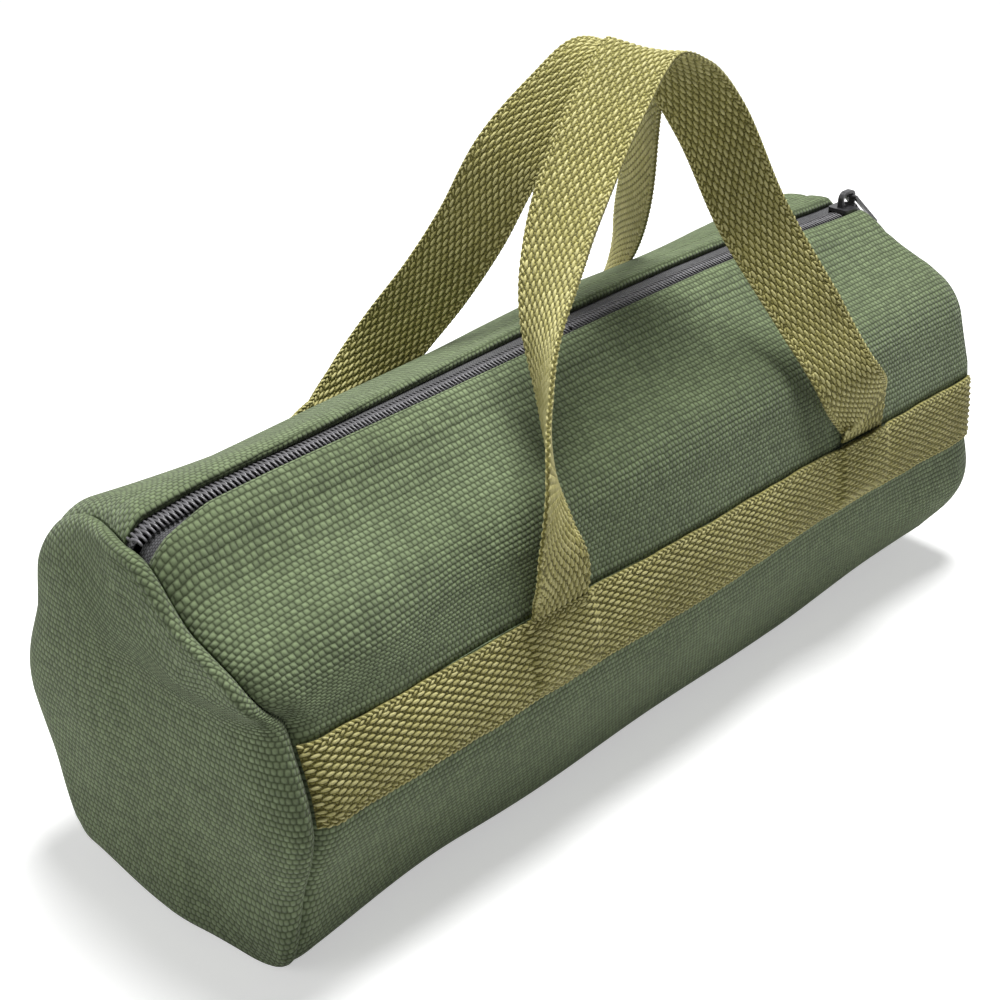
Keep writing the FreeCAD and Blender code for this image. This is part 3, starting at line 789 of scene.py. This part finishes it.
def webbing(name, lay, first, last, faces):
    """A length of webbing: its ground cloth, and its yarn crowns on the outer face, or on both.
    Each row of crowns is (across, repeat, shift along, slant, size)."""
    half, core = webbing_wide / 2, webbing_thick * 0.28
    along = np.linspace(first, last, max(3, round((last - first) / 0.0024)))[:, None]
    across = np.linspace(-half, half, 11)
    ring_across = np.concatenate([across, across[::-1]])[None, :]
    points, _, face = surface_frame(lay, along + 0 * ring_across, ring_across + 0 * along)
    thick = np.repeat([core, -core], len(across))[None, :, None]
    flat = np.stack(np.broadcast_arrays(along, ring_across), axis=-1)
    ground = cloth_piece(name, points + face * thick, flat)
    ground.data.materials.append(olive_ground_shaded)
    seeds = {"at": [], "face": [], "yarn": [], "size": []}
    pitch = (webbing_wide - 2 * selvage_wide) / crown_rows
    rows = []
    for k in range(crown_rows):
        rows.append((-half + selvage_wide + (k + 0.5) * pitch, crown_repeat, k % 2 / 2, 0.0, (1.0, 1.0, 1.0)))
    for edge in (-1, 1):
        for k, share in enumerate((0.22, 0.72)):
            across_at, slant = edge * (half - share * selvage_wide), 0.5 * edge * (2 * k - 1)
            rows.append((across_at, crown_repeat / 2, k / 2, slant, selvage_crown))
    for side in faces:
        for across_at, repeat, shift, slant, size in rows:
            lead = 0.25 + (shift if side > 0 else 0.5 - shift)
            places = np.arange(first + lead * repeat, last - 0.2 * repeat, repeat)
            at, yarn, face = surface_frame(lay, places, np.full(len(places), across_at))
            seeds["at"].append(at + face * side * core * 0.9)
            seeds["face"].append(face * side)
            seeds["yarn"].append(yarn + slant * np.cross(face, yarn))
            seeds["size"].append(np.tile(size, (len(places), 1)))
    seeds = {key: np.concatenate(value) for key, value in seeds.items()}
    seed = bpy.data.meshes.new("seed")
    seed.from_pydata(seeds["at"].tolist(), [], [])
    for key in ("face", "yarn", "size"):
        stored = seed.attributes.new(key, "FLOAT_VECTOR", "POINT")
        stored.data.foreach_set("vector", seeds[key].astype(np.float32).ravel())
    crowns = grown(
        name + "_yarns", seed, yarn_crowns,
        {"Length": crown_long, "Width": pitch * crown_fill, "Height": crown_high, "Finish": olive_yarn},
    )
    return ground, crowns


def strip_lay(side):
    """The strip's middle surface: flat on the canvas, raised over the strap ends sewn in under it."""
    half, slope = webbing_wide / 2, 0.004

    def lay(along, across):
        lift = sum(ease((half + slope - np.abs(along - foot)) / slope) for foot in (foot_left, foot_right))
        lift = lift * ease((strap_tuck - half + slope - side * across) / 0.006)
        ripple = 0.00015 * np.sin(240 * along) * np.sin(90 * across + 40 * along)
        edge = 0.00015 * np.sin(170 * along) + 0.0001 * np.sin(411 * along)
        station = strip_top + half + side * across + edge
        return on_cloth(side, along, station, webbing_thick * (0.5 + lift) + ripple)
    return lay


strip_end = bag_half - 0.0006

for side, name in ((front, "front"), (rear, "rear")):
    strip, crowns = webbing(name + "_side_strip", strip_lay(side), -strip_end, strip_end, (1,))
    for piece in (strip, crowns):
        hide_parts(name + "_side_strip")
        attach(piece, "bag_shell")


# Strap ends: the last 21 mm of each handle, sewn down flat under the strip. The strip hides them,
# and is raised over them.

tuck_gap = 0.0002

for side, name in ((front, "front"), (rear, "rear")):
    for end, foot in (("left", foot_left), ("right", foot_right)):
        across = np.linspace(-webbing_wide / 2, webbing_wide / 2, 9)
        around = np.concatenate([across, across[::-1]])[None, :]
        run = np.linspace(strip_top + tuck_gap, strip_top + strap_tuck, 10)[:, None]
        outs = np.repeat([tuck_gap, webbing_thick - 2 * tuck_gap], len(across))[None, :]
        rows = on_cloth(side, foot + around, run, outs)
        flat = np.stack(np.broadcast_arrays(run, around), axis=-1)
        stub = cloth_piece(f"{name}_{end}_strap_end", rows, flat)
        stub.data.materials.append(olive_ground_shaded)
        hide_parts(f"{name}_{end}_strap_end")
        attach(stub, "bag_shell")


# Handles: two lengths of the same webbing. Each leaves the strip flat, arches over and turns half round
# on its way; the front one stands a little higher and leans over the rear one.

handle_middle = (foot_left + foot_right) / 2
handle_span = foot_right - foot_left

# Places on each handle: shares of the half span, of the rise, and of the way out from the top to the feet,
# with how far the webbing has turned, in degrees
handle_line = {
    front: [
        (-1.03, 0.15, 1.01, 16), (-1.01, 0.28, 0.93, 39), (-0.90, 0.40, 0.72, 48), (-0.75, 0.54, 0.48, 61),
        (-0.56, 0.67, 0.29, 81), (-0.37, 0.79, 0.18, 101), (-0.13, 0.92, 0.09, 109), (0.12, 1.00, 0.00, 116),
        (0.31, 0.94, 0.03, 124), (0.47, 0.81, 0.15, 132), (0.60, 0.58, 0.39, 137), (0.71, 0.35, 0.80, 146),
        (0.80, 0.19, 1.05, 161),
    ],
    rear: [
        (-0.81, 0.11, 1.04, 4), (-0.66, 0.17, 1.06, 18), (-0.54, 0.24, 1.03, 38), (-0.45, 0.32, 0.93, 50),
        (-0.35, 0.45, 0.70, 56), (-0.26, 0.60, 0.47, 57), (-0.15, 0.78, 0.27, 63), (0.05, 0.92, 0.09, 73),
        (0.22, 1.00, 0.00, 90), (0.44, 0.96, 0.00, 98), (0.64, 0.81, 0.17, 116), (0.80, 0.56, 0.46, 114),
        (0.96, 0.33, 0.86, 126), (0.98, 0.17, 1.09, 163),
    ],
}
handle_rise = {front: 0.144, rear: 0.1355}
handle_apex = {front: 0.008, rear: 0.0165}
apex_tilt = {front: math.radians(28), rear: 0.0}
flat_foot = 0.008
foot_lift = 0.0025
foot_clear = 0.0003
foot_end = 0.0004
bend_from, bend_to = (0.0596, 0.0835), (0.0590, 0.0975)


def through(rows, count):
    """A smooth run through rows of numbers whose first three are a place, with count steps along it."""
    rows = np.array(rows)
    chord = np.concatenate([[0], np.cumsum(np.sqrt(np.linalg.norm(np.diff(rows[:, :3], axis=0), axis=1)))])
    slope = np.gradient(rows, chord, axis=0)
    at = np.linspace(0, chord[-1], count)
    k = np.clip(np.searchsorted(chord, at) - 1, 0, len(chord) - 2)
    span = (chord[k + 1] - chord[k])[:, None]
    t = (at - chord[k])[:, None] / span
    return (
        (2 * t**3 - 3 * t**2 + 1) * rows[k] + (t**3 - 2 * t**2 + t) * span * slope[k]
        + (-2 * t**3 + 3 * t**2) * rows[k + 1] + (t**3 - t**2) * span * slope[k + 1]
    )


def handle_lay(side):
    """The middle surface of one handle, from its left foot to its right one, and its length."""
    stand, foot_at = webbing_thick / 2 + foot_clear, strip_top - hinge_gap
    ends = []
    for station, out in ((foot_at, stand), (foot_at - flat_foot, stand + foot_lift)):
        across, up, across_out, up_out = on_section(station)
        ends.append((across + out * across_out, up + out * up_out))
    foot, ankle = ends
    apex, rise = handle_apex[side], handle_rise[side]
    line = [(foot_left, side * foot[0], foot[1], 0), (foot_left, side * ankle[0], ankle[1], 0)]
    for along, up, out, turn in handle_line[side]:
        x, y = handle_middle + along * handle_span / 2, side * (apex + out * (foot[0] - apex))
        line.append((x, y, foot[1] + up * rise, turn))
    line += [(foot_right, side * ankle[0], ankle[1], 180), (foot_right, side * foot[0], foot[1], 180)]
    rows = through(line, 600)
    run = np.concatenate([[0], np.cumsum(np.linalg.norm(np.diff(rows[:, :3], axis=0), axis=1))])
    even = np.linspace(0, run[-1], 600)
    rows = np.stack([np.interp(even, run, rows[:, k]) for k in range(4)], axis=1)
    centre, turn = rows[:, :3], np.radians(rows[:, 3])
    way = np.gradient(centre, axis=0)
    way /= np.linalg.norm(way, axis=1)[:, None]
    lean = np.array((0, side * (apex - foot[0]), rise)) / math.hypot(apex - foot[0], rise)
    inward = np.cross(lean, (-side, 0, 0)) * math.cos(apex_tilt[side]) + lean * math.sin(apex_tilt[side])
    wide = np.outer(np.cos(turn), (1, 0, 0)) + np.outer(np.sin(turn), inward)
    wide -= way * (wide * way).sum(axis=1)[:, None]
    wide /= np.linalg.norm(wide, axis=1)[:, None]

    def lay(along, across):
        along, across = np.broadcast_arrays(along, across)
        at = [np.interp(along, even, column) for column in (*centre.T, *wide.T)]
        return np.stack([at[k] + at[k + 3] * across for k in range(3)], axis=-1)
    return lay, run[-1]


for side, name in ((front, "front"), (rear, "rear")):
    lay, length = handle_lay(side)
    strap, crowns = webbing(name + "_handle_strap", lay, foot_end, length - foot_end, (1, -1))
    held, free = ((0, side * across, up) for across, up in (bend_from, bend_to))
    for piece in (strap, crowns):
        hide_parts(name + "_handle_strap")
        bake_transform(piece)
        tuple(held)
        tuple(free)


# Slider: two die-cast plates joined by a wedge, with its bail and its slotted pull. Their solids
# have the real shape, so they are only given their black lacquer.

lacquer = plastic("black lacquer", (44, 44, 46), 0.34, 0.0015)
for node in ("slider_body", "slider_bail", "pull_tab"):
    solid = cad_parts[node]
    solid.data.materials.clear()
    solid.data.materials.append(lacquer)


# Studio: a pale floor and surroundings that show as white, soft light from above, a little to the right
# and the rear, and some from the left. The camera stands at the photo's angle.

floor_half, floor_down = 4, 0.0004


def showing(tree):
    """1 on rays that show the surroundings themselves: to the camera, or by way of gloss or glass."""
    ray = tree.nodes.new("ShaderNodeLightPath")
    mirrored = maths(tree, "MAXIMUM", ray.outputs["Is Glossy Ray"], ray.outputs["Is Transmission Ray"])
    return maths(tree, "MAXIMUM", ray.outputs["Is Camera Ray"], mirrored)


def studio_floor():
    mesh = bpy.data.meshes.new("floor")
    corners = [(x * floor_half, y * floor_half, -floor_down) for x, y in ((-1, -1), (1, -1), (1, 1), (-1, 1))]
    mesh.from_pydata(corners, [], [(0, 1, 2, 3)])
    floor = bpy.data.objects.new("floor", mesh)
    bpy.context.collection.objects.link(floor)
    material, tree, shader = new_material("floor paint")
    shader.inputs["Base Color"].default_value = (0.8, 0.8, 0.8, 1)
    shader.inputs["Roughness"].default_value = 0.9
    glow = wire(tree, "ShaderNodeEmission", ((1, 1, 1, 1), 0.5))
    nothing = wire(tree, "ShaderNodeEmission", ((0, 0, 0, 1), 0.0))
    lift = wire(tree, "ShaderNodeMixShader", (showing(tree), nothing.outputs[0], glow.outputs[0]))
    both = wire(tree, "ShaderNodeAddShader", (shader.outputs[0], lift.outputs[0]))
    tree.links.new(both.outputs[0], tree.nodes["Material Output"].inputs["Surface"])
    mesh.materials.append(material)


studio_floor()

world = bpy.data.worlds.new("studio")
bpy.context.scene.world = world
world.use_nodes = True
sky = world.node_tree
level = wire(sky, "ShaderNodeMix", (showing(sky), 0.06, 1.0), data_type="FLOAT")
sky.links.new(level.outputs[0], sky.nodes["Background"].inputs["Strength"])
sky.nodes["Background"].inputs["Color"].default_value = (1, 1, 1, 1)


def lamp(name, place, aim, size, watts):
    """A round soft light of a size across, turned to what it lights."""
    light = bpy.data.lights.new(name, "AREA")
    light.shape, light.size, light.energy = "DISK", size, watts
    stand = bpy.data.objects.new(name, light)
    stand.location = place
    stand.rotation_euler = (Vector(aim) - Vector(place)).to_track_quat("-Z", "Y").to_euler()
    bpy.context.collection.objects.link(stand)


lamp("overhead", place=(0.18, 0.10, 1.25), aim=(0, 0, 0.08), size=0.6, watts=24.5)
lamp("left", place=(-1.25, 0.40, 0.60), aim=(0, 0, 0.06), size=0.8, watts=4.8)

camera_roll = math.radians(0.51)
lens = bpy.data.cameras.new("photo camera")
lens.sensor_width, lens.lens = 36.0, 66.6
lens.clip_start = 0.01
camera = bpy.data.objects.new("photo camera", lens)
camera.location = (-0.4361, -0.3734, 0.3783)
aim = Vector((-0.0148, 0.0160, 0.0709))
look = (aim - camera.location).to_track_quat("-Z", "Y")
camera.rotation_euler = (look @ Quaternion((0, 0, 1), camera_roll)).to_euler()
bpy.context.collection.objects.link(camera)
bpy.context.scene.camera = camera
bpy.context.scene.view_settings.view_transform = "Standard"
